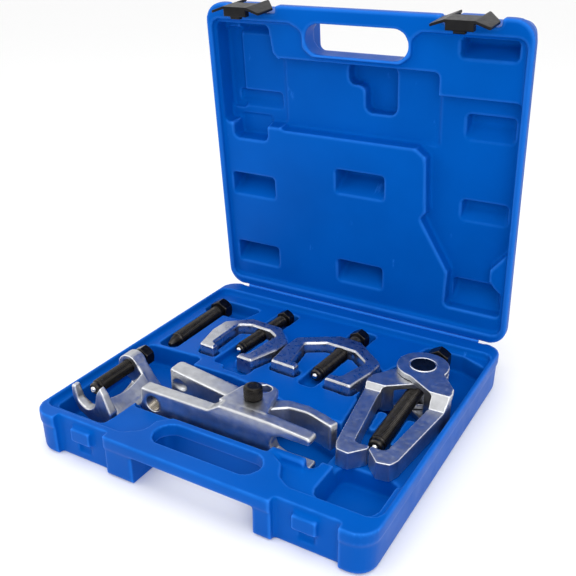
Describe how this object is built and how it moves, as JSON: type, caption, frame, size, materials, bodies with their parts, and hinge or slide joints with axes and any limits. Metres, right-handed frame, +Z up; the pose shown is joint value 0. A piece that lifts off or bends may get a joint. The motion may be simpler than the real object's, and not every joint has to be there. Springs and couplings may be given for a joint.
{
  "type": "ball joint separator set",
  "caption": "Lever ball joint separator and screw pullers laid in a hinged blow-moulded case with snap latches and a handle opening.",
  "frame": {"origin": "centre of the base's underside, on the surface the case stands on", "axes": "+X along the lid's hinge to the right as seen from the latches, +Y from the latches to the hinge, +Z up"},
  "size_m": [0.35, 0.3761, 0.3827],
  "materials": {
    "shell": "fine-textured blue polyethylene, soft sheen",
    "latch": "moulded black plastic",
    "forged": "forged, shot-blasted and satin plated",
    "plated": "forged and bright zinc plated, ground edges",
    "black_steel": "black oxide on machined steel",
    "ball": "polished hardened ball"
  },
  "bodies": {
    "case": {"case_base": "shell", "hinge_web": "shell"},
    "lid": {"case_lid": "shell"},
    "left_latch": {"latch_left": "latch"},
    "right_latch": {"latch_right": "latch"},
    "separator": {"separator_fork_arm": "forged", "separator_pivot_bolt": "black_steel", "separator_pivot_nut": "black_steel"},
    "separator_lever": {"separator_lever_arm": "forged"},
    "forcing_screw": {"forcing_screw": "black_steel"},
    "c_frame": {"c_frame_body": "forged"},
    "c_frame_tip": {"c_frame_ball": "ball"},
    "c_frame_screw": {"c_frame_screw": "black_steel"},
    "small_puller": {"small_puller_frame": "plated"},
    "small_puller_tip": {"small_puller_ball": "ball"},
    "small_puller_screw": {"small_puller_screw": "black_steel"},
    "wide_puller": {"wide_puller_frame": "plated"},
    "wide_puller_tip": {"wide_puller_ball": "ball"},
    "wide_puller_screw": {"wide_puller_screw": "black_steel"},
    "twin_puller": {"twin_trunnion": "plated"},
    "twin_left": {"twin_arm_left": "forged"},
    "twin_right": {"twin_arm_right": "forged"},
    "twin_tip": {"twin_ball": "ball"},
    "twin_screw": {"twin_screw": "black_steel"}
  },
  "joints": [
    {"name": "lid_hinge", "type": "hinge", "parent": "case", "child": "lid", "pos_m": [0, 0.169, 0.042], "axis": [-1, 0, 0], "range_deg": [-84.3, 0]},
    {"name": "latch_left_hinge", "type": "hinge", "parent": "lid", "child": "left_latch", "pos_m": [-0.117, 0.14488, 0.37726], "axis": [-1, 0, 0], "range_deg": [0, 80]},
    {"name": "latch_right_hinge", "type": "hinge", "parent": "lid", "child": "right_latch", "pos_m": [0.116, 0.14488, 0.37726], "axis": [-1, 0, 0], "range_deg": [0, 80]},
    {"name": "separator_lift_out", "type": "slide", "parent": "case", "child": "separator", "axis": [0, 0, 1], "range_m": [0, 0.1]},
    {"name": "forcing_screw_lift_out", "type": "slide", "parent": "case", "child": "forcing_screw", "axis": [0, 0, 1], "range_m": [0, 0.1]},
    {"name": "c_frame_lift_out", "type": "slide", "parent": "case", "child": "c_frame", "axis": [0, 0, 1], "range_m": [0, 0.1]},
    {"name": "small_puller_lift_out", "type": "slide", "parent": "case", "child": "small_puller", "axis": [0, 0, 1], "range_m": [0, 0.1]},
    {"name": "wide_puller_lift_out", "type": "slide", "parent": "case", "child": "wide_puller", "axis": [0, 0, 1], "range_m": [0, 0.1]},
    {"name": "twin_puller_lift_out", "type": "slide", "parent": "case", "child": "twin_puller", "axis": [0, 0, 1], "range_m": [0, 0.14]},
    {"name": "separator_lever_pivot", "type": "hinge", "parent": "separator", "child": "separator_lever", "pos_m": [0.013, -0.075, 0.04], "axis": [0, 0, -1], "range_deg": [-12, 9]},
    {"name": "c_frame_advance", "type": "slide", "parent": "c_frame", "child": "c_frame_tip", "axis": [0, 1, 0], "range_m": [-0.003, 0.027]},
    {"name": "c_frame_screw_turn", "type": "hinge", "parent": "c_frame_tip", "child": "c_frame_screw", "pos_m": [-0.141, -0.119, 0.047], "axis": [0, 1, 0], "range_deg": [-720, 6480]},
    {"name": "small_puller_advance", "type": "slide", "parent": "small_puller", "child": "small_puller_tip", "axis": [-0.0698, -0.9976, 0], "range_m": [-0.006, 0.027]},
    {"name": "small_puller_screw_turn", "type": "hinge", "parent": "small_puller_tip", "child": "small_puller_screw", "pos_m": [-0.07476, 0.03394, 0.035], "axis": [-0.0698, -0.9976, 0], "range_deg": [-1440, 6480]},
    {"name": "wide_puller_advance", "type": "slide", "parent": "wide_puller", "child": "wide_puller_tip", "axis": [-0.061, -0.9981, 0], "range_m": [-0.0105, 0.0105]},
    {"name": "wide_puller_screw_turn", "type": "hinge", "parent": "wide_puller_tip", "child": "wide_puller_screw", "pos_m": [0.02223, 0.02698, 0.035], "axis": [-0.061, -0.9981, 0], "range_deg": [-2520, 2520]},
    {"name": "twin_advance", "type": "slide", "parent": "twin_puller", "child": "twin_tip", "axis": [0.0314, -0.9995, 0], "range_m": [-0.008, 0.008]},
    {"name": "twin_screw_turn", "type": "hinge", "parent": "twin_tip", "child": "twin_screw", "pos_m": [0.12583, -0.05494, 0.036], "axis": [0.0314, -0.9995, 0], "range_deg": [-1440, 1440]},
    {"name": "twin_left_swing", "type": "hinge", "parent": "twin_puller", "child": "twin_left", "pos_m": [0.122, 0.067, 0.036], "axis": [0, 0, 1], "range_deg": [-12.1, 0]},
    {"name": "twin_right_swing", "type": "hinge", "parent": "twin_puller", "child": "twin_right", "pos_m": [0.122, 0.067, 0.036], "axis": [0, 0, 1], "range_deg": [0, 12.1]}
  ],
  "couplings": [
    {"joint": "c_frame_screw_turn", "follows": "c_frame_advance", "rad_per_m": 4188.8},
    {"joint": "small_puller_screw_turn", "follows": "small_puller_advance", "rad_per_m": 4188.8},
    {"joint": "wide_puller_screw_turn", "follows": "wide_puller_advance", "rad_per_m": 4188.8},
    {"joint": "twin_screw_turn", "follows": "twin_advance", "rad_per_m": 3141.6},
    {"joint": "twin_left_swing", "follows": "twin_puller_lift_out", "rad_per_m": -1.496},
    {"joint": "twin_right_swing", "follows": "twin_puller_lift_out", "rad_per_m": 1.496}
  ]
}
